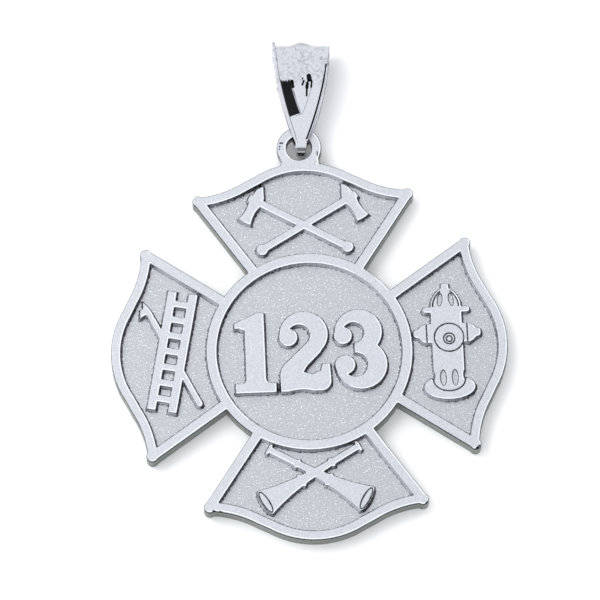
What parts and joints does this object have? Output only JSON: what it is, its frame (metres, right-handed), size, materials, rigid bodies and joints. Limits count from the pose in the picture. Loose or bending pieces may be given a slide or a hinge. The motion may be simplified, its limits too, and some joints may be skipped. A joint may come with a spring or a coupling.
{
  "type": "firefighter badge pendant",
  "caption": "Flat cast cross of flared arms round a ring with raised ornaments, hung on a tapered folded bail through a soldered loop.",
  "frame": {"origin": "below the middle of the whole pendant, on the surface that it lies on", "axes": "+Z out of the badge's face, +Y from the bottom arm to the bail, +X to the right of the face"},
  "size_m": [0.0352, 0.0466, 0.0036],
  "materials": {
    "satin_silver": "satin rims and ornaments over sandblasted fields",
    "polished_silver": "polished"
  },
  "bodies": {
    "root": {"badge_cross": "satin_silver", "bail": "polished_silver"}
  },
  "joints": []
}
